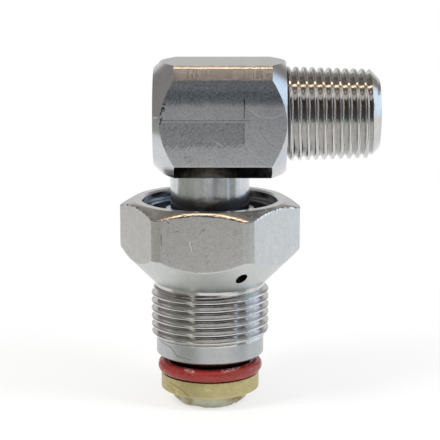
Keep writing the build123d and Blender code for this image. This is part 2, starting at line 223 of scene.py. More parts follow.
# Cloths and lamps, as a dome that no camera ray and no soft light meets
dome_radius = 0.8
bm = bmesh.new()
bmesh.ops.create_uvsphere(bm, u_segments=64, v_segments=32, radius=dome_radius)
bmesh.ops.bisect_plane(bm, geom=bm.verts[:] + bm.edges[:] + bm.faces[:], dist=1e-6,
                       plane_co=(0, 0, table_level + 2 * mm), plane_no=(0, 0, -1), clear_outer=True)
dome_paint, cloth = new_tree("cloths")
place = cloth.node("ShaderNodeTexCoord", output="Object")
aimed = place.node("ShaderNodeVectorMath", {"operation": "NORMALIZE"}, {0: place})
east, north, up = aimed.xyz()
front = (0 - north).fade(-0.1, 0.3)
behind = north.fade(0.0, 0.4)
left = (0 - east).fade(0.45, 0.75)
right = east.fade(0.5, 0.7)
corners = behind * east.apart().fade(0.4, 0.6) * up.fade(0.03, 0.12)
wings = east.apart().fade(0.4, 0.5) * (0 - north).fade(0.1, 0.25) * up.fade(0.02, 0.08)
above = up.fade(0.72, 0.86)
patches = cloth.node("ShaderNodeTexNoise", inputs={"Vector": aimed, "Scale": 5.0, "Detail": 1.0})
softbox = up.apart(0.8).fade(0.09, 0.05) * front
window = east.fade(0.72, 0.84) * up.apart(0.28).fade(0.45, 0.3) * north.fade(-0.1, 0.1)
left_lamp = east.apart(-0.57).fade(0.08, 0.04) * up.apart(0.4).fade(0.45, 0.3) * front
right_slits = east.apart(0.81).fade(0.035, 0.015) + east.apart(0.995).fade(0.012, 0.004)
right_lamp = right_slits * up.apart(0.3).fade(0.5, 0.4)
top_lamp = east.apart().fade(0.46, 0.28) * north.apart(-0.01).fade(0.05, 0.03)
front_lamp = east.apart(-0.02).fade(0.2, 0.06) * north.apart(-0.32).fade(0.06, 0.03)
warm_lamps = (top_lamp + front_lamp * 0.33) * up.fade(0, 0.5)
rear = up.fade(0.05, 0.2).blend((0.6, 0.6, 0.6, 1), (0.8, 0.8, 0.8, 1))
rear = up.fade(0.3, 0.62).blend(rear, (0.42, 0.4, 0.38, 1))
cloth_colour = up.fade(0.0, 0.7).blend((0.11, 0.12, 0.135, 1), (0.06, 0.05, 0.045, 1))
for share, colour in (
    (right, (0.43, 0.48, 0.54, 1)),
    (behind, rear),
    (left, (0.34, 0.32, 0.3, 1)),
    (corners, (0.31, 0.295, 0.28, 1)),
    (wings, (0.17, 0.15, 0.145, 1)),
    (above, (0.2, 0.18, 0.17, 1)),
    (patches.fade(0.5, 0.62) * above, (0.32, 0.28, 0.25, 1)),
    (softbox, (0.95, 0.96, 0.92, 1)),
    (window, (1.08, 1.3, 1.55, 1)),
    (left_lamp, (1.5, 1.42, 1.35, 1)),
    (right_lamp, (0.9, 1.08, 1.3, 1)),
    (warm_lamps.smaller(1), (6.5, 4.7, 3.1, 1)),
):
    cloth_colour = share.blend(cloth_colour, colour)
cover = front.larger(above).larger(window).larger(left).larger(right).larger(behind)
finish_cloth(cloth, cloth_colour, cover)
hang(bm, "cloths", dome_paint)


def bent_line(bm, corners):
    """A line of edges towards -Y, through corners of (distance, level), to sweep a sheet from."""
    verts = [bm.verts.new((0, -distance, level)) for distance, level in corners]
    return verts + [bm.edges.new(pair) for pair in zip(verts, verts[1:])]


# A board in front, with its foot on the table: pale below a sill, dark above it, and
# darkest along the bottom
board_distance = 0.24
board_left = -0.27
board_width = 0.52
foot_end = 0.1
foot = table_level + 1 * mm
board_paint, cloth = new_tree("board")
across, away, height = cloth.node("ShaderNodeTexCoord", output="Object").xyz()
height = height - table_level
sill = 0.0325 - across.fade(0.026, 0.032) * 0.021 - across.fade(-0.05, -0.07) * 0.016
skirting = height.fade(0.0145, 0.004) * away.fade(-0.236, -0.239)
cloth_colour = skirting.blend((0.82, 0.82, 0.81, 1), (0.04, 0.04, 0.04, 1))
cloth_colour = (height - sill).fade(-0.001, 0.001).blend(cloth_colour, (0.125, 0.135, 0.155, 1))
cloth_colour = height.fade(0.04, 0.12).blend(cloth_colour, (0.09, 0.08, 0.075, 1))
cover = across.fade(-0.26, -0.06) * across.fade(0.2, 0.14)
finish_cloth(cloth, cloth_colour, cover * height.fade(0.19, 0.14) * away.fade(-0.13, -0.2))
board = bmesh.new()
line = bent_line(board, ((board_distance, 0.45), (board_distance, foot), (foot_end, foot)))
bmesh.ops.translate(board, verts=board.verts, vec=(board_left, 0, 0))
bmesh.ops.spin(board, geom=line, cent=(0, 0, 0), axis=(0, 0, 1), dvec=(board_width, 0, 0), angle=0,
               steps=1, use_merge=False, use_duplicate=False)
hang(board, "board", board_paint)

# Three narrow lit strips on the right, which stand on the table and run in along it
strip_distance = 0.22
strip_top = foot + 0.1
strip_end = 0.035
strip_paint, cloth = new_tree("strips")
height = cloth.node("ShaderNodeTexCoord", output="Object").xyz()[2] - table_level
strip_colour = height.fade(0.02, 0.04).blend((0.85, 1.0, 1.2, 1), (1.5, 1.8, 2.1, 1))
finish_cloth(cloth, strip_colour, 1)
strips = bmesh.new()
for azimuth, width in ((54, 3.4), (82, 4.0), (110, 3.6)):
    line = bent_line(strips, ((strip_distance, strip_top), (strip_distance, foot), (strip_end, foot)))
    bmesh.ops.rotate(strips, verts=line[:3], cent=(0, 0, 0),
                     matrix=Matrix.Rotation(radians(azimuth - width / 2), 3, "Z"))
    bmesh.ops.spin(strips, geom=line, cent=(0, 0, 0), axis=(0, 0, 1), angle=radians(width),
                   steps=1, use_merge=False, use_duplicate=False)
hang(strips, "strips", strip_paint)


def soft_lamp(name, place, size, power, colour):
    """A square softbox that lights the joint from a place, and isn't seen itself."""
    lamp = bpy.data.lights.new(name, "AREA")
    lamp.size = size
    lamp.energy = power
    lamp.color = colour
    stand = bpy.data.objects.new(name, lamp)
    bpy.context.scene.collection.objects.link(stand)
    stand.location = place
    stand.rotation_euler = (Vector(place) - aim).to_track_quat("Z", "Y").to_euler()
    stand.visible_camera = False
    stand.visible_glossy = False


soft_lamp("lamp_left", (-0.42, -0.3, 0.55), 0.22, 2.8, (1, 0.98, 0.95))
soft_lamp("lamp_right", (0.5, -0.28, 0.5), 0.22, 2.6, (0.93, 0.97, 1))


# Hexagon body. Stainless steel, turned from hexagon bar: the head is chamfered, the
# cone, the port thread and the pilot are turned, and the weep hole is drilled last.
body_crest_r = 13.22 * mm
body_pitch = 25.4 / 14 * mm
flank_angle = 27.5
sharp_depth = 0.9605
thread_steps = 192


def screw_thread(crest_r, pitch, crest_level, bottom, top, crest_round, root_round):
    """A tube round Z with a right-hand 55 degree thread, cut off square at both ends.
    crest_level is the level of one crest on the -Y side, the roundings are shares of the pitch."""
    depth = pitch * (sharp_depth - 1.1659 * (crest_round + root_round))
    level = crest_level - pitch * ceil((crest_level - bottom) / pitch + 1.5)
    bm = bmesh.new()
    last = None
    while level < top + pitch:
        crest = (level, crest_round * pitch, -1, 3)
        root = (level + pitch / 2, root_round * pitch, 1, 1)
        for at, rounding, way, rows in (crest, root):
            for step in range(-rows, rows + 1):
                lean = radians(90 - flank_angle) * step / rows
                r = crest_r + way * rounding * (1 - cos(lean)) - (depth if way > 0 else 0)
                vert = bm.verts.new((0, -r, at + rounding * sin(lean)))
                if last:
                    bm.edges.new((last, vert))
                last = vert
        level += pitch
    bmesh.ops.spin(bm, geom=bm.verts[:] + bm.edges[:], cent=(0, 0, 0), axis=(0, 0, 1),
                   dvec=(0, 0, pitch / thread_steps), angle=2 * pi, steps=thread_steps,
                   use_merge=False, use_duplicate=False)
    bmesh.ops.remove_doubles(bm, verts=bm.verts, dist=0.001 * mm)
    for level, way in ((bottom, -1), (top, 1)):
        bmesh.ops.bisect_plane(bm, geom=bm.verts[:] + bm.edges[:] + bm.faces[:], dist=0.0001 * mm,
                               plane_co=(0, 0, level), plane_no=(0, 0, way), clear_outer=True)
    return bm


def boundary_at(bm, level):
    """The open edges at one level."""
    return [
        edge for edge in bm.edges
        if edge.is_boundary and all(abs(vert.co.z - level) < 0.001 * mm for vert in edge.verts)
    ]


def set_radius(vert, r):
    """Moves a vertex straight out from Z, or in."""
    vert.co.xy *= r / max(hypot(vert.co.x, vert.co.y), 0.001 * mm)


def turn_on(bm, edges, *stations):
    """Carries an open round edge on through stations of (radius, level), as a lathe cuts."""
    for r, level in stations:
        made = bmesh.ops.extrude_edge_only(bm, edges=edges)["geom"]
        for vert in [item for item in made if isinstance(item, bmesh.types.BMVert)]:
            set_radius(vert, r)
            vert.co.z = level
        edges = [item for item in made if isinstance(item, bmesh.types.BMEdge) and item.is_boundary]
    return edges


def cut_flat(bm, angle, distance):
    """Mills a flat that faces outwards at an angle round Z, and closes it with one face."""
    way = Vector((cos(angle), sin(angle), 0))
    cut = bmesh.ops.bisect_plane(bm, geom=bm.verts[:] + bm.edges[:] + bm.faces[:], dist=0.0001 * mm,
                                 plane_co=way * distance, plane_no=way, clear_outer=True)["geom_cut"]
    bmesh.ops.edgeloop_fill(bm, edges=[item for item in cut if isinstance(item, bmesh.types.BMEdge)])


def sharp_edges(bm, over, chosen=lambda vert: True):
    """The edges that turn by more than an angle in degrees, where both ends are chosen."""
    return [
        edge for edge in bm.edges
        if len(edge.link_faces) == 2 and edge.calc_face_angle(0) > radians(over)
        and all(chosen(vert) for vert in edge.verts)
    ]


def break_edges(bm, edges, width, segments=2):
    """Takes the sharpness off some edges, as a deburring wheel does."""
    bmesh.ops.bevel(bm, geom=edges, offset=width, offset_type="OFFSET", segments=segments, profile=0.5,
                    affect="EDGES", clamp_overlap=True, material=-1)


def make_piece(bm, name, body, slot, finishes, *replaced, choose=None, smooth_under=36):
    """Makes a mesh into a piece that rides on a body and stands for CAD nodes. choose gives
    a face's finish as its number in the list. Weighted normals keep the long faces straight."""
    bmesh.ops.recalc_face_normals(bm, faces=bm.faces)
    # a milled flat or a turned end is one face with many corners
    for face in bm.faces:
        face.smooth = len(face.verts) < 12
        face.material_index = choose(face) if choose else 0
    for edge in bm.edges:
        kinds = {face.material_index for face in edge.link_faces}
        edge.smooth = edge.calc_face_angle(0) < radians(smooth_under if len(kinds) < 2 else 5)
    mesh = bpy.data.meshes.new(name)
    bm.to_mesh(mesh)
    bm.free()
    for finish in finishes:
        mesh.materials.append(finish)
    piece = bpy.data.objects.new(name, mesh)
    bpy.context.scene.collection.objects.link(piece)
    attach(piece, body)
    if replaced:
        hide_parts(*replaced)
    shading = piece.modifiers.new("shading", "WEIGHTED_NORMAL")
    shading.keep_sharp = True
    return piece


def drilled(bm, cutter):
    """Takes the cutter's shape away from a mesh. Both are used up, and a new mesh comes back."""
    both = []
    for part in (bm, cutter):
        bmesh.ops.recalc_face_normals(part, faces=part.faces)
        mesh = bpy.data.meshes.new("blank")
        part.to_mesh(mesh)
        part.free()
        both.append(bpy.data.objects.new("blank", mesh))
        bpy.context.scene.collection.objects.link(both[-1])
    cut = both[0].modifiers.new("drill", "BOOLEAN")
    cut.operation = "DIFFERENCE"
    cut.solver = "EXACT"
    cut.object = both[1]
    done = both[0].evaluated_get(bpy.context.evaluated_depsgraph_get())
    made = bmesh.new()
    made.from_mesh(done.to_mesh())
    done.to_mesh_clear()
    for part in both:
        mesh = part.data
        bpy.data.objects.remove(part)
        bpy.data.meshes.remove(mesh)
    return made


def drill_bit(stations, segments=48):
    """A closed round cutter along Z, from stations of (radius, level)."""
    bm = bmesh.new()
    bmesh.ops.create_circle(bm, cap_ends=False, radius=stations[0][0], segments=segments)
    bmesh.ops.translate(bm, verts=bm.verts, vec=(0, 0, stations[0][1]))
    first = bm.edges[:]
    last = turn_on(bm, first, *stations[1:])
    for end in (first, last):
        bmesh.ops.edgeloop_fill(bm, edges=end)
    return bm


thread_bottom = -10.75 * mm
runout_top = 1.2 * mm
cone_foot = 1.8 * mm
neck_r = 12.3 * mm
pilot_r = 12.05 * mm
body_bottom = -14.75 * mm
head_top = 20.5 * mm
turned_r = 20.1 * mm
crown_r = 17.1 * mm
cone_edge = cone_foot + turned_r - neck_r
crown_edge = head_top - (turned_r - crown_r) * tan(radians(30))
bore_r = 15.0 * mm
groove_r = 15.7 * mm
groove_top = 18.25 * mm
groove_bottom = 16.95 * mm
bearing_seat = 9.95 * mm
relief_r = 12.2 * mm
web_top = 4.1 * mm
web_r = 6.3 * mm
gland_top = -4.7 * mm
gland_hole_r = 10.0 * mm
edge_break = 0.4 * mm
body_crest_level = -5.84 * mm
hex_flat = 18.0 * mm
hex_turn = radians(-5)

body = screw_thread(body_crest_r, body_pitch, body_crest_level, thread_bottom, runout_top, 0.2, 0.06)
for vert in body.verts:
    level = vert.co.z
    r = hypot(vert.co.x, vert.co.y)
    # the crests are a little uneven
    if r > body_crest_r - 0.3 * mm:
        r -= (0.03 + 0.03 * noise.noise(vert.co / (1.6 * mm))) * mm
    r = min(r, pilot_r + level - thread_bottom)
    if level > 0:
        r = min(r, body_crest_r - level / runout_top * (body_crest_r - neck_r))
        r = max(r, neck_r - (1 - level / runout_top) * 0.35 * mm)
    set_radius(vert, r)
inside = turn_on(
    body,
    boundary_at(body, thread_bottom),
    (pilot_r, body_bottom + edge_break),
    (pilot_r - edge_break, body_bottom),
    (gland_hole_r + edge_break, body_bottom),
    (gland_hole_r, body_bottom + edge_break),
    (gland_hole_r, gland_top),
    (web_r, gland_top),
    (web_r, web_top),
    (relief_r, web_top),
    (relief_r, bearing_seat),
    (bore_r, bearing_seat),
    (bore_r, groove_bottom),
    (groove_r, groove_bottom),
    (groove_r, groove_top),
    (bore_r, groove_top),
    (bore_r, head_top - edge_break),
    (bore_r + edge_break, head_top),
)
outside = turn_on(
    body,
    boundary_at(body, runout_top),
    (neck_r, cone_foot),
    (turned_r, cone_edge),
    (turned_r, crown_edge),
    (crown_r, head_top),
)
bmesh.ops.bridge_loops(body, edges=inside + outside)
for flat in range(6):
    cut_flat(body, hex_turn + radians(30 + 60 * flat), hex_flat)
bmesh.ops.recalc_face_normals(body, faces=body.faces)
head_edges = sharp_edges(body, 14, lambda vert: hypot(vert.co.x, vert.co.y) > 17 * mm)
break_edges(body, head_edges, 0.14 * mm)

weep_turn = radians(25.6)
weep_level = cone_foot + 3.7 * mm
weep_r = 1.25 * mm
weep_out = neck_r + 3.7 * mm
weep = drill_bit([(weep_r, relief_r / 2), (weep_r, weep_out + 4 * mm)])
for turn, axis in ((pi / 2, "Y"), (weep_turn - pi / 2, "Z")):
    bmesh.ops.rotate(weep, verts=weep.verts, cent=(0, 0, 0), matrix=Matrix.Rotation(turn, 3, axis))
bmesh.ops.translate(weep, verts=weep.verts, vec=(0, 0, weep_level))
body = drilled(body, weep)
weep_way = Vector((sin(weep_turn), -cos(weep_turn), 0))


def on_weep_rim(vert):
    """Whether a vertex is on the weep hole's outer edge."""
    offset = vert.co - Vector((0, 0, weep_level))
    out = offset.dot(weep_way)
    return out > 13 * mm and abs((offset - weep_way * out).length - weep_r) < 0.02 * mm


break_edges(body, sharp_edges(body, 20, on_weep_rim), 0.16 * mm)


def mm_axes(tree):
    """Where a point is in the row frame, as three wires in millimetres."""
    return [part * 1000 for part in tree.node("ShaderNodeTexCoord", output="Object").xyz()]


def vector(x, y, z):
    """A vector from three wires or numbers, at least one a wire."""
    tree = next(part for part in (x, y, z) if isinstance(part, Wire))
    return tree.node("ShaderNodeCombineXYZ", inputs={0: x, 1: y, 2: z})


def grain(at, scale, detail=2, rough=0.5):
    """Noise round 0.5 on a vector."""
    inputs = {"Vector": at, "Scale": scale, "Detail": detail, "Roughness": rough}
    return at.node("ShaderNodeTexNoise", inputs=inputs)


def hairlines(at, scale, width=0.008):
    """Fine curved scratches, where a slow noise passes its middle, in patches only."""
    curve = grain(at, scale, 1).apart(0.5).fade(width, 0)
    return curve * grain(at, scale * 0.7 + 0.11, 1).fade(0.5, 0.56)


def finish_surface(tree, material, colour, rough, height, metallic=1):
    """Ends a surface's tree: its colour, its roughness and its relief in millimetres."""
    relief = tree.node("ShaderNodeBump", inputs={"Strength": 1, "Distance": mm, "Height": height})
    inputs = {"Base Color": colour, "Roughness": rough, "Metallic": metallic, "Normal": relief}
    shader = tree.node("ShaderNodeBsdfPrincipled", inputs=inputs)
    tree.node("ShaderNodeOutputMaterial", inputs={"Surface": shader})
    return material


def steel(name, dark, light, rough, relief, change=0.06, patch=0.5, wear_and_light=None,
          stain_and_shade=(0.12, 0.11, 0.1)):
    """Stainless steel: a soft change of tone in patches, fine specks, and a given relief.
    The marks function adds wear and painted light and shade alike: dark where it is below 0, bright
    where it is above."""
    made, tree = new_tree(name)
    x, y, z = mm_axes(tree)
    at = vector(x, y, z)
    tone = grain(at, patch, 2).fade(0.3, 0.7) * 0.4 + grain(at, 2.4, 3, 0.75).fade(0.3, 0.7) * 0.6
    colour = tone.blend(dark + (1,), light + (1,))
    height = relief(x, y, z)
    shine = (grain(at, 1.3, 3, 0.6) - 0.5) * change * 4 + rough
    if wear_and_light:
        marks = wear_and_light(x, y, z)
        colour = marks.larger(0).smaller(1).blend(colour, (0.9, 0.9, 0.9, 1))
        colour = (0 - marks).larger(0).smaller(1).blend(colour, stain_and_shade + (1,))
        height = height - marks.apart().smaller(1) * 0.012
    return finish_surface(tree, made, colour, shine, height)


def length_of(first, second):
    """How long a vector with these two parts is."""
    square = first * first + second * second
    return square.math("SQRT", square)


def rings_round_z(pitch, depth):
    """The rings that a lathe tool leaves round Z, at a pitch along the surface."""
    def relief(x, y, z):
        at = vector(length_of(x, y) / pitch, 0.0, z / pitch)
        return (grain(at, 1, 2, 0.6) - 0.5) * depth
    return relief


def stroke(x, z, start, end, width):
    """1 along a straight scratch on a face towards -Y, from start to end, in millimetres."""
    run, rise = end[0] - start[0], end[1] - start[1]
    length = hypot(run, rise)
    along = ((x - start[0]) * run + (z - start[1]) * rise) / length**2
    along = along.larger(0).smaller(1)
    across = x - start[0] - along * run
    up = z - start[1] - along * rise
    return length_of(across, up).fade(width, width * 0.3)


def strokes(x, z, *marks):
    """The sum of several scratches, each a (start, end, width)."""
    total = stroke(x, z, *marks[0])
    for mark in marks[1:]:
        total = total + stroke(x, z, *mark)
    return total


def drawn_relief(x, y, z):
    """The fine grain of a bright drawn bar, scuffed."""
    return (grain(vector(x, y, z), 2.2, 4, 0.75) - 0.5) * 0.03


def to_flats(x, y):
    """How far out a point is towards the nearest pair of the hexagon's flats."""
    turns = [hex_turn + radians(30 + 60 * side) for side in range(3)]
    reach = [(x * cos(turn) + y * sin(turn)).apart() for turn in turns]
    return reach[0].larger(reach[1]).larger(reach[2])


def nicks(x, y, z, where):
    """Small bright and dark tears along an edge, in a band that where gives."""
    gate = grain(vector(x, y, z), 1.3, 2)
    return where * (gate.fade(0.52, 0.58) * 0.9 - gate.fade(0.47, 0.41) * 0.7)


def flat_wear_and_sheen(x, y, z):
    """Scratches and dents on the hexagon's flats, the largest on the one towards -Y, and painted
    reflection that makes the right flat and the left one lighter.
    """
    at = vector(x, y, z)
    r = length_of(x, y)
    wave = (grain(at, 1.4, 3, 0.7) - 0.5) * 0.5
    crown_line = (z + r * 0.57735 + wave).fade(30.0, 30.25)
    cone_line = (z - r + wave).fade(-10.25, -10.4)
    front = (0 - y).fade(15.5, 16.5)
    fine = hairlines(at, 0.33) * 0.25 - hairlines(vector(x + 31, y, z), 0.4) * 0.35
    pits = grain(vector(x * 1.2, y * 1.2, z), 2.1, 1).fade(0.7, 0.76) * 0.45
    bright = stroke(x, z, (-4.2, 14.2), (-3.7, 12.3), 0.17) * 0.9
    dark = strokes(
        x, z,
        ((-3.85, 14.0), (-3.4, 12.2), 0.12),
        ((-7.7, 16.4), (-6.5, 16.7), 0.13),
        ((-2.0, 16.3), (-0.9, 17.3), 0.13),
        ((-9.2, 19.0), (-8.6, 18.3), 0.14),
        ((-10.3, 15.8), (-10.2, 13.6), 0.18),
    )
    speckle = (grain(at, 2.4, 2, 0.8) - 0.5) * 0.7
    right_flat = (x * 0.82 - y * 0.57).fade(17.0, 17.9)
    left_flat = (x * -0.91 - y * 0.42).fade(17.0, 17.9)
    torn = nicks(x, y, z, crown_line.larger(cone_line))
    # painted reflection: the right and left flats are painted lighter
    side_sheen = right_flat * 0.28 + left_flat * 0.1
    return (bright - dark * 0.55) * front + fine - pits + torn + speckle + side_sheen


def crown_wear(x, y, z):
    """The crown's torn edge, where it meets the flats."""
    wave = (grain(vector(x, y, z), 1.4, 3, 0.7) - 0.5) * 0.4
    edge = (to_flats(x, y) + wave).fade(17.6, 17.85) * (z.fade(18.5, 18.8) * 0.75 + 0.25)
    return nicks(x, y, z, edge) + (grain(vector(x, y, z), 1.1, 3, 0.7) - 0.5) * 0.2


def crown_relief(x, y, z):
    """The lathe's rings, and the crown rolled over towards the flats."""
    over = (to_flats(x, y) - 16.5).larger(0)
    return rings_round_z(0.13, 0.0015)(x, y, z) - over * over * 0.1


def pilot_wear_and_shade(x, y, z):
    """A torn scar on the pilot's left side, dents along its lower edge, and painted shade along its
    lowest edge, over the dark gap above the ring.
    """
    near = (0 - y).fade(0, 3)
    scar = strokes(
        x, z,
        ((-11.4, -10.9), (-8.6, -11.6), 0.2),
        ((-8.6, -11.6), (-7.2, -13.2), 0.16),
        ((-7.2, -13.2), (-4.2, -13.6), 0.12),
    )
    at = vector(x, y, z)
    dents = grain(at, 0.9, 3, 0.6).fade(0.62, 0.72) * z.fade(-13.6, -14.6)
    # painted shade: the lowest edge is painted dark, over the gap above the ring
    gap_shade = z.fade(-14.55, -14.7)
    return (0 - scar * 0.55) * near - dents * 0.35 - gap_shade + hairlines(at, 0.4) * 0.25


bar_grey = (0.56, 0.55, 0.525)
bar_light = (0.64, 0.63, 0.605)
body_finishes = [
    steel("hex_flats", bar_grey, bar_light, 0.5, drawn_relief, wear_and_light=flat_wear_and_sheen),
    steel("crown_turned", (0.5, 0.49, 0.47), (0.6, 0.59, 0.57), 0.2,
          crown_relief, 0.03, wear_and_light=crown_wear),
    steel("cone_turned", (0.58, 0.6, 0.58), (0.66, 0.68, 0.66), 0.4, rings_round_z(0.12, 0.006), 0.03),
    steel("port_thread", (0.52, 0.51, 0.5), (0.66, 0.65, 0.64), 0.13, rings_round_z(0.1, 0.0025), 0.03),
    steel("pilot_turned", (0.42, 0.43, 0.43), (0.5, 0.51, 0.51), 0.3,
          rings_round_z(0.12, 0.006), 0.04, wear_and_light=pilot_wear_and_shade),
    steel("bore_turned", (0.5, 0.53, 0.57), (0.62, 0.65, 0.69), 0.15, rings_round_z(0.15, 0.006), 0.05),
    steel("corner_turned", (0.62, 0.61, 0.585), (0.7, 0.69, 0.665), 0.5,
          rings_round_z(0.25, 0.006), 0.04, wear_and_light=flat_wear_and_sheen),
]


def body_zone(face):
    """Which of the body's finishes a face has."""
    middle = face.calc_center_median()
    r = hypot(middle.x, middle.y)
    if middle.z < thread_bottom:
        return 4
    outward = face.normal.x * middle.x + face.normal.y * middle.y > 0.1 * mm
    if r < 15.3 * mm and middle.z > cone_foot and not outward or r < 10.5 * mm:
        return 5
    if middle.z < cone_foot:
        return 3
    if abs(face.normal.z) < 0.05 and len(face.verts) > 12:
        return 0
    if face.normal.z > 0.2:
        return 1
    return 6 if abs(face.normal.z) < 0.05 else 2


make_piece(body, "hexagon_body", "housing", "body_stainless", body_finishes, "hex_body",
           choose=body_zone)


# Elbow block. Stainless square bar, milled and chamfered, coned at both ends in the
# lathe, with the side nipple and its taper thread cut from the same bar.
axis_level = 39.44 * mm
bar_drop = 0.6 * mm
half_bar = 12.2 * mm
bar_chamfer = 2.85 * mm
bar_back = 12.3 * mm
bar_front = 16.65 * mm
back_face_r = 10.65 * mm
front_face_r = 12.1 * mm
corner_r = half_bar * sqrt(2)
nipple_r = 10.45 * mm
nipple_root_r = 10.6 * mm
nipple_end = 37.15 * mm
nipple_chamfer = 2.2 * mm
nipple_taper = 1 / 16
nipple_crest = 26.65 * mm
flow_r = 5.25 * mm
flow_end = -3.5 * mm

chamfer_start = nipple_end - nipple_chamfer
chamfer_r = nipple_r - (chamfer_start - bar_front) * nipple_taper / 2
tip_r = chamfer_r - nipple_chamfer - nipple_chamfer * nipple_taper / 2
thread_end = nipple_end - 0.7 * mm
block = screw_thread(nipple_r, body_pitch, nipple_crest, bar_front, thread_end, 0.28, 0.06)
for vert in block.verts:
    level = vert.co.z
    r = hypot(vert.co.x, vert.co.y)
    if r > nipple_r - 0.3 * mm:
        r -= (0.03 + 0.03 * noise.noise(vert.co / (1.6 * mm))) * mm
    r -= (level - bar_front) * nipple_taper / 2
    # the first turn runs out against the block, and the chamfer cuts the last ones away
    shallow = max(0, 1 - (level - bar_front) / (0.4 * mm))
    r += shallow * (nipple_r - 0.9 * mm - r)
    r = min(r, chamfer_r - (level - chamfer_start))
    if level > thread_end - 0.001 * mm:
        r = tip_r + 0.7 * mm
    set_radius(vert, r)
front_end = turn_on(
    block,
    boundary_at(block, thread_end),
    (tip_r, nipple_end),
    (flow_r + edge_break, nipple_end),
    (flow_r, nipple_end - edge_break),
    (flow_r, flow_end),
    (flow_r * 0.02, flow_end - flow_r / tan(radians(59))),
)
back_end = turn_on(
    block,
    boundary_at(block, bar_front),
    (front_face_r, bar_front),
    (corner_r, bar_front - corner_r + front_face_r),
    (corner_r, -bar_back + corner_r - back_face_r),
    (back_face_r, -bar_back),
    (back_face_r * 0.02, -bar_back),
)
for vert in block.verts:
    if vert.co.z < bar_front + 0.001 * mm and hypot(vert.co.x, vert.co.y) > nipple_r + 0.1 * mm:
        vert.co.x += bar_drop
for end in (front_end, back_end):
    bmesh.ops.edgeloop_fill(block, edges=end)
for side in range(8):
    turn = pi / 4 * side
    reach = half_bar if side % 2 == 0 else (2 * half_bar - bar_chamfer) / sqrt(2)
    cut_flat(block, turn, reach + bar_drop * cos(turn))
bmesh.ops.recalc_face_normals(block, faces=block.faces)


def on_bar(vert):
    """Whether a vertex is on the bar, and not on the nipple."""
    return hypot(vert.co.x, vert.co.y) > nipple_root_r and vert.co.z < bar_front + 0.1 * mm


break_edges(block, sharp_edges(block, 14, on_bar), 0.2 * mm, 4)
nipple_to_x = Matrix(((0, 0, 1), (0, 1, 0), (-1, 0, 0))).to_4x4()
block_place = Matrix.Translation((0, 0, axis_level)) @ nipple_to_x
bmesh.ops.transform(block, matrix=block_place, verts=block.verts)
socket_r = 8.0 * mm
bar_bottom = axis_level - bar_drop - half_bar
socket_top = bar_bottom + 5.6 * mm
spindle_bore_r = 4.25 * mm
socket_outline = [
    (socket_r, bar_bottom - 2 * mm), (socket_r, socket_top),
    (spindle_bore_r, socket_top), (spindle_bore_r, axis_level),
]
block = drilled(block, drill_bit(socket_outline, 64))


def milled_relief(x, y, z):
    """The fine lines that a cutter leaves along the bar."""
    return (grain(vector(x * 0.5, y, z), 2.6, 4, 0.75) - 0.5) * 0.03


def sawn_relief(x, y, z):
    """The shallow streaks that a saw leaves across the chamfer."""
    return (grain(vector(x * 3, y * 0.3, z * 0.3), 1, 3, 0.7) - 0.5) * 0.0015


def front_marks_and_light(x, y, z):
    """A milled lane along the top painted darker as painted reflection, a cutter's stopping line,
    crescents and scratches on the side towards -Y, and painted highlights under a seam and along the
    lower edge.
    """
    front = (0 - y).fade(12.0, 12.15)
    at = vector(x, y, z)
    wave = (grain(at, 0.5, 2) - 0.5) * 1.2
    chatter = grain(vector((x + z) * 1.7, 0.0, (x - z) * 0.6), 1, 3, 0.7) - 0.5
    fine = grain(at, 2.2, 3, 0.8) - 0.5
    lane_level = z + wave
    # painted reflection: the milled lane along the top is painted darker, and bluish through the
    # block's dark colour
    lane_depth = lane_level.apart(44.9).fade(1.9, 0.4) * 0.18 + 0.5 + chatter * 0.8
    top_lane = lane_level.fade(42.2, 43.6) * lane_depth
    ticks = grain(vector((x - z) * 2.2, 0.0, (x + z) * 0.3), 1, 2)
    lower_edge = (z + (ticks - 0.5) * 3.5).fade(33.6, 34.2)
    box = lower_edge * z.fade(39.45, 39.3) * x.fade(7.55, 7.4) * (ticks * 0.6 + 0.05)
    right = x.fade(7.4, 7.7)
    reach = length_of(x - 12.6, z - 45.4)
    sweep = length_of(x - 16, z - 38.8)
    crescents = (grain(vector(sweep * 2 + wave, 0.0, 0.0), 1, 2) - 0.5) * right * z.fade(41.0, 38.0)
    arc = reach.apart(5.3).fade(0.2, 0.05) * right * z.fade(43.3, 42.6) * 0.4
    upper_stop = z.fade(39.5, 40.4) * z.fade(44.5, 43.8) * 0.65
    lower_stop = z.apart(36.8).fade(2.8, 2.2) * 0.25
    stop = x.apart(7.42).fade(0.2, 0.06) * (upper_stop + lower_stop)
    seam = z.apart(39.6).fade(0.16, 0.05) * x.fade(10.5, 7.0) * 0.5
    # painted highlights: a line under the seam and a band along the face's lower edge
    glint = z.apart(39.25).fade(0.16, 0.05) * x.fade(8, 7.0) * 0.35
    edge = z.fade(29.85, 29.7) * 0.35
    scratch = stroke(x, z, (-0.3, 36.0), (2.7, 34.1), 0.12) * 0.5
    scratch = scratch + stroke(x, z, (2.0, 34.9), (1.2, 34.2), 0.1) * 0.4
    smudge = stroke(x, z, (-5.3, 32.3), (-4.4, 30.9), 0.8) * 0.5
    smudge = smudge * grain(at, 1.7, 3, 0.7).fade(0.48, 0.6)
    burr = stroke(x, z, (-9.6, 42.8), (-11.1, 38.2), 0.6) * 1.2
    burr = burr * grain(at, 1.5, 2).fade(0.47, 0.55)
    dark = top_lane + box + stop + seam + smudge + burr
    bright = arc + glint + scratch + edge + crescents * 0.9 + fine * 1.3 + chatter * 0.5
    return (bright - dark) * front


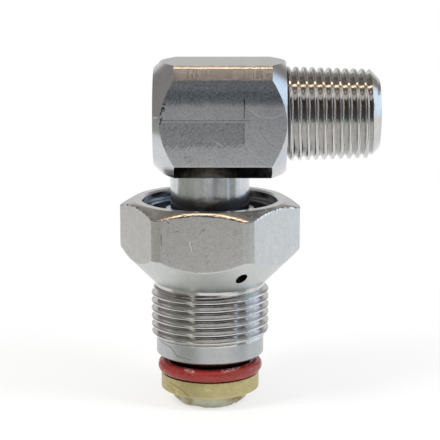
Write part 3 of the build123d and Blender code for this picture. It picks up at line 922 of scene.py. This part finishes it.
def chamfer_streaks_and_light(x, y, z):
    """The saw's streaks, a painted highlight along the upper chamfer's top edge, painted shade that
    grows below it, and painted dark reflection over the lower chamfers.
    """
    streaks = (grain(vector(x * 3, y * 0.3, z * 0.3), 1, 3, 0.75) - 0.5) * 1.7 - 0.14
    fine = (grain(vector(x, y, z), 2.6, 2) - 0.5) * 0.1
    # painted highlight along the top edge, and painted shade below it
    edge = (z + (grain(vector(x, 0.0, 0.0), 1.2, 3) - 0.5) * 0.4).fade(50.4, 50.65) * 0.65
    shade = z.fade(50.4, 48.2) * 0.24 - 0.08
    # the lower chamfers are painted dark, as painted reflection of the dark recess below
    return streaks + fine + edge - shade * z.fade(45, 46) - z.fade(31, 29.5) * 0.7


def rings_round_nipple(pitch, depth):
    """The rings that a lathe tool leaves round the nipple's axis."""
    def relief(x, y, z):
        at = vector(length_of(y, z - axis_level / mm) / pitch, 0.0, x / pitch)
        return (grain(at, 1, 2, 0.6) - 0.5) * depth
    return relief


block_finishes = [
    # the bluish dark colour tints the painted reflection of the top lane
    steel("block_milled", (0.56, 0.565, 0.57), (0.64, 0.645, 0.65), 0.32,
          milled_relief, 0.03, 0.3, front_marks_and_light, (0.06, 0.085, 0.12)),
    steel("block_chamfer", (0.52, 0.555, 0.59), (0.6, 0.635, 0.67), 0.13,
          sawn_relief, 0.02, 0.3, chamfer_streaks_and_light),
    steel("block_turned", (0.54, 0.55, 0.56), (0.62, 0.63, 0.64), 0.2,
          rings_round_nipple(0.14, 0.005), 0.03),
    steel("nipple_thread", (0.54, 0.53, 0.515), (0.65, 0.64, 0.62), 0.12,
          rings_round_nipple(0.09, 0.0015), 0.02),
]


def block_zone(face):
    """Which of the block's finishes a face has."""
    middle = face.calc_center_median()
    from_axis = hypot(middle.y, middle.z - axis_level)
    if from_axis < nipple_root_r and middle.x > bar_front - 0.01 * mm:
        return 3
    if abs(face.normal.x) > 0.2 or len(face.verts) < 8:
        return 2
    return 0 if max(abs(face.normal.y), abs(face.normal.z)) > 0.9 else 1


make_piece(block, "elbow_with_nipple", "elbow", "block_stainless", block_finishes, "elbow_block",
           choose=block_zone)


# Spindle. Stainless, turned and bored through: its threaded end is screwed into the
# block, its collar lies on the bearing, and its journal runs down to the nose.
def turned(*outline, break_over=25, break_width=0.08, segments=128):
    """A closed piece turned round Z, from an outline of (radius, level) in millimetres."""
    bm = bmesh.new()
    verts = [bm.verts.new((0, -r * mm, level * mm)) for r, level in outline]
    edges = [bm.edges.new(pair) for pair in zip(verts[-1:] + verts, verts)]
    bmesh.ops.spin(bm, geom=verts + edges, cent=(0, 0, 0), axis=(0, 0, 1), angle=2 * pi,
                   steps=segments, use_merge=True, use_duplicate=False)
    bmesh.ops.recalc_face_normals(bm, faces=bm.faces)
    break_edges(bm, sharp_edges(bm, break_over), break_width * mm)
    return bm


plug_r = 7.95
stem_r = 8.8
collar_r = 9.9
bearing_seat_r = 8.5
clip_groove_r = 8.1
journal_r = 6.0
passage_r = 4.25
small_chamfer = 0.4
spindle = turned(
    (passage_r, 31.44), (plug_r - small_chamfer, 31.44), (plug_r, 31.04), (plug_r, 26.64),
    (stem_r, 26.64), (stem_r, 18.25), (collar_r, 18.25), (collar_r, 16.95),
    (bearing_seat_r, 16.95), (bearing_seat_r, 9.95), (clip_groove_r, 9.95), (clip_groove_r, 8.85),
    (bearing_seat_r, 8.85), (bearing_seat_r, 8.35), (bearing_seat_r - small_chamfer, 7.95),
    (journal_r, 7.95), (journal_r, -24.65), (journal_r - small_chamfer, -25.05),
    (passage_r, -25.05),
)


def stem_wear(x, y, z):
    """Soft rubbed streaks along the stem, and a mottled darkening low down on its front."""
    streaks = grain(vector(x * 1.3, y * 1.3, z * 0.25), 1, 3, 0.65) - 0.5
    mottle = grain(vector(x, y, z), 1.1, 3, 0.7) - 0.5
    low_front_dark = z.fade(24.2, 22.0) * x.apart(-0.2).fade(5.5, 2.5) * (0 - y).fade(4, 7)
    return streaks * 0.8 + mottle * 0.5 + 0.08 - low_front_dark * (mottle + 0.12)


spindle_steel = steel("spindle_turned", (0.54, 0.55, 0.56), (0.62, 0.63, 0.65), 0.17,
                      rings_round_z(0.1, 0.002), 0.03, wear_and_light=stem_wear)
make_piece(spindle, "turned_spindle", "elbow", "spindle_stainless", [spindle_steel], "spindle")


# Gland bush. Brass, screwed into the body's lower end; its neck carries the port ring
# and its collar, with two spanner holes, shows below the ring.
gland_r = 9.95
gland_neck_r = 8.75
gland_collar_r = 11.05
gland_bore_r = 6.05
seal_pocket_r = 8.5
spigot_r = 7.2
spigot_foot = -24.5
collar_top = -19.15
collar_foot = -22.75
gland = turned(
    (seal_pocket_r, -4.7), (gland_r - small_chamfer, -4.7), (gland_r, -5.1), (gland_r, -14.75),
    (gland_neck_r, -14.75), (gland_neck_r, collar_top), (gland_collar_r, collar_top),
    (gland_collar_r, collar_foot), (spigot_r, collar_foot), (spigot_r, spigot_foot),
    (gland_bore_r, spigot_foot), (gland_bore_r, -9.9), (seal_pocket_r, -9.9),
    break_width=0.18,
)
spanner_hole_r = 0.9 * mm
spanner_hole_reach = 9.6 * mm
for side in (-1, 1):
    spanner_hole = drill_bit([(spanner_hole_r, -23.5 * mm), (spanner_hole_r, -21.15 * mm)], 32)
    bmesh.ops.translate(spanner_hole, verts=spanner_hole.verts, vec=(side * spanner_hole_reach, 0, 0))
    gland = drilled(gland, spanner_hole)
brass, tree = new_tree("brass")
x, y, z = mm_axes(tree)
at = vector(x, y, z)
rings = rings_round_z(0.2, 0.01)(x, y, z)
lines = hairlines(at, 0.45, 0.015)
patches = grain(at, 0.6, 3, 0.6).fade(0.3, 0.7)
tone = grain(vector(x * 0.5, y * 0.5, z * 4), 0.8, 3, 0.6) * 0.7 + patches * 0.3
scores = strokes(
    x, z,
    ((-8.9, -20.2), (-6.1, -21.2), 0.12),
    ((-6.1, -21.2), (-4.6, -22.5), 0.1),
    ((-9.6, -21.0), (-7.9, -21.9), 0.1),
) * (0 - y).fade(0, 2)
colour = tone.blend((0.42, 0.345, 0.155, 1), (0.6, 0.53, 0.285, 1))
colour = (lines.smaller(1) * 0.4).blend(colour, (0.8, 0.74, 0.5, 1))
colour = (scores.smaller(1) * 0.7).blend(colour, (0.1, 0.075, 0.03, 1))
colour = (z.fade(-22.4, -22.65) * 0.35).blend(colour, (0.75, 0.7, 0.5, 1))
# painted shade: the neck above the collar, in the groove under the body's end, is painted near black
colour = z.fade(-19.1, -19.0).blend(colour, (0.03, 0.025, 0.02, 1))
rough = (grain(at, 0.9, 3) - 0.5) * 0.3 + 0.42
finish_surface(tree, brass, colour, rough, rings - lines * 0.006)
make_piece(gland, "brass_gland", "housing", "brass", [brass], "gland_bush")


# Port ring. Red rubber, moulded in one piece and stretched over the gland's neck, where
# it lies between the collar and the body's end.
ring_cord_r = 1.5 * mm
ring = bmesh.new()
bmesh.ops.create_circle(ring, radius=ring_cord_r, segments=32)
bmesh.ops.rotate(ring, verts=ring.verts, cent=(0, 0, 0), matrix=Matrix.Rotation(pi / 2, 3, "X"))
cord_middle = (gland_neck_r * mm + ring_cord_r, 0, collar_top * mm + ring_cord_r)
bmesh.ops.translate(ring, verts=ring.verts, vec=cord_middle)
bmesh.ops.spin(ring, geom=ring.verts[:] + ring.edges[:], cent=(0, 0, 0), axis=(0, 0, 1),
               angle=2 * pi, steps=160, use_merge=True, use_duplicate=False)
red_rubber, tree = new_tree("red_rubber")
x, y, z = mm_axes(tree)
at = vector(x, y, z)
dust = grain(at, 6, 2).fade(0.66, 0.75)
tone = grain(at, 0.8, 3)
colour = tone.blend((0.19, 0.014, 0.011, 1), (0.31, 0.034, 0.028, 1))
colour = (dust * 0.25).blend(colour, (0.7, 0.5, 0.48, 1))
# painted highlights: pale streaks along the top of the ring, on its front
ring_glints = strokes(x, z, ((-5.4, -16.35), (-3.6, -16.5), 0.35), ((2.8, -16.4), (6.4, -16.25), 0.35))
ring_glints = ring_glints + stroke(x, z, (8.2, -16.1), (9.0, -15.9), 0.25) * 0.5
ring_glints = ring_glints * grain(vector(x * 1.5, y, z * 3), 1.8, 3, 0.7).fade(0.42, 0.66) * (0 - y).fade(0, 2)
colour = (ring_glints.smaller(1) * 0.6).blend(colour, (0.85, 0.78, 0.8, 1))
rough = grain(at, 0.7, 3).fade(0.45, 0.55) * 0.3 + 0.12
finish_surface(tree, red_rubber, colour, rough, (grain(at, 1.2, 3) - 0.5) * 0.012, metallic=0)
make_piece(ring, "red_port_ring", "housing", "red_rubber", [red_rubber], "port_o_ring")


# Nose seal. Amber polyurethane, pushed over the gland's spigot; its lower lip is
# torn into ragged facets.
nose_r = 8.3
nose_bore_r = 6.35
nose_foot = -26.05
nose = turned(
    (spigot_r, collar_foot), (nose_r, collar_foot), (nose_r, -24.85), (7.6, -25.5),
    (7.0, nose_foot), (nose_bore_r, nose_foot), (nose_bore_r, spigot_foot), (spigot_r, spigot_foot),
    break_width=0.05, segments=36,
)
# the lip tears in the same way each run
tear_seed = 1796056559
noise.seed_set(tear_seed)
for vert in nose.verts:
    r = hypot(vert.co.x, vert.co.y)
    if vert.co.z < -24 * mm and r > 6.6 * mm:
        large_facets = noise.noise_vector(vert.co / (2.4 * mm))
        small_facets = noise.noise_vector(vert.co / (0.9 * mm))
        vert.co += (large_facets * 0.5 + small_facets * 0.2) * mm
        vert.co.z = max(vert.co.z + 0.08 * mm, (nose_foot + 0.01) * mm)
        set_radius(vert, min(hypot(vert.co.x, vert.co.y) + 0.1 * mm, nose_r * mm))
amber, tree = new_tree("amber")
x, y, z = mm_axes(tree)
at = vector(x, y, z)
tone = grain(at, 0.6, 4, 0.6).fade(0.35, 0.65)
colour = tone.blend((0.3, 0.22, 0.09, 1), (0.5, 0.47, 0.32, 1))
# painted reflection: the front middle of the seal is painted lighter and greener
middle = x.apart(0.5).fade(5.5, 2.5) * y.fade(0, -2)
colour = (middle * 0.7).blend(colour, (0.55, 0.58, 0.46, 1))
rough = (grain(at, 1.5, 3) - 0.5) * 0.3 + 0.32
finish_surface(tree, amber, colour, rough, (grain(at, 1.2, 3) - 0.5) * 0.2, metallic=0)
make_piece(nose, "amber_nose_seal", "housing", "amber_polyurethane", [amber], "nose_seal",
           smooth_under=16)


# Parts inside, which keep their solids: the bearing, its shields and clips, the
# guide ring, the seals and the washer.
def plain_finish(name, dark, light, rough, metallic):
    """A finish with a soft change of colour and a fine grain."""
    made, tree = new_tree(name)
    x, y, z = mm_axes(tree)
    at = vector(x, y, z)
    colour = grain(at, 0.7, 3).fade(0.35, 0.65).blend(dark + (1,), light + (1,))
    shine = (grain(at, 1.4, 3) - 0.5) * 0.2 + rough
    return finish_surface(tree, made, colour, shine, (grain(at, 5, 2) - 0.5) * 0.01, metallic)


finishes = {
    "bearing_steel": plain_finish("bearing_steel", (0.5, 0.5, 0.51), (0.6, 0.6, 0.61), 0.25, 1),
    "ball_steel": plain_finish("ball_steel", (0.72, 0.72, 0.73), (0.78, 0.78, 0.79), 0.08, 1),
    "cage_nylon": plain_finish("cage_nylon", (0.8, 0.76, 0.65), (0.88, 0.85, 0.75), 0.5, 0),
    # the bearing's shields are painted near black, as painted shade deep in the recess
    "shield_steel": plain_finish("shield_steel", (0.05, 0.05, 0.05), (0.1, 0.1, 0.1), 0.45, 1),
    "spring_steel": plain_finish("spring_steel", (0.2, 0.2, 0.21), (0.32, 0.32, 0.33), 0.35, 1),
    "copper": plain_finish("copper", (0.6, 0.33, 0.22), (0.72, 0.42, 0.3), 0.35, 1),
    "guide_strip": plain_finish("guide_strip", (0.25, 0.15, 0.08), (0.35, 0.22, 0.13), 0.6, 0),
    "seal_rubber": plain_finish("seal_rubber", (0.03, 0.03, 0.03), (0.06, 0.06, 0.06), 0.5, 0),
    "backup_plastic": plain_finish("backup_plastic", (0.82, 0.82, 0.8), (0.9, 0.9, 0.88), 0.45, 0),
}
cad_nodes = frame["nodes"]
for part in frame["record"]["subparts"]:
    if part["material_slot"] in finishes:
        kept_mesh = cad_nodes[part["node"]].data
        kept_mesh.materials.clear()
        kept_mesh.materials.append(finishes[part["material_slot"]])
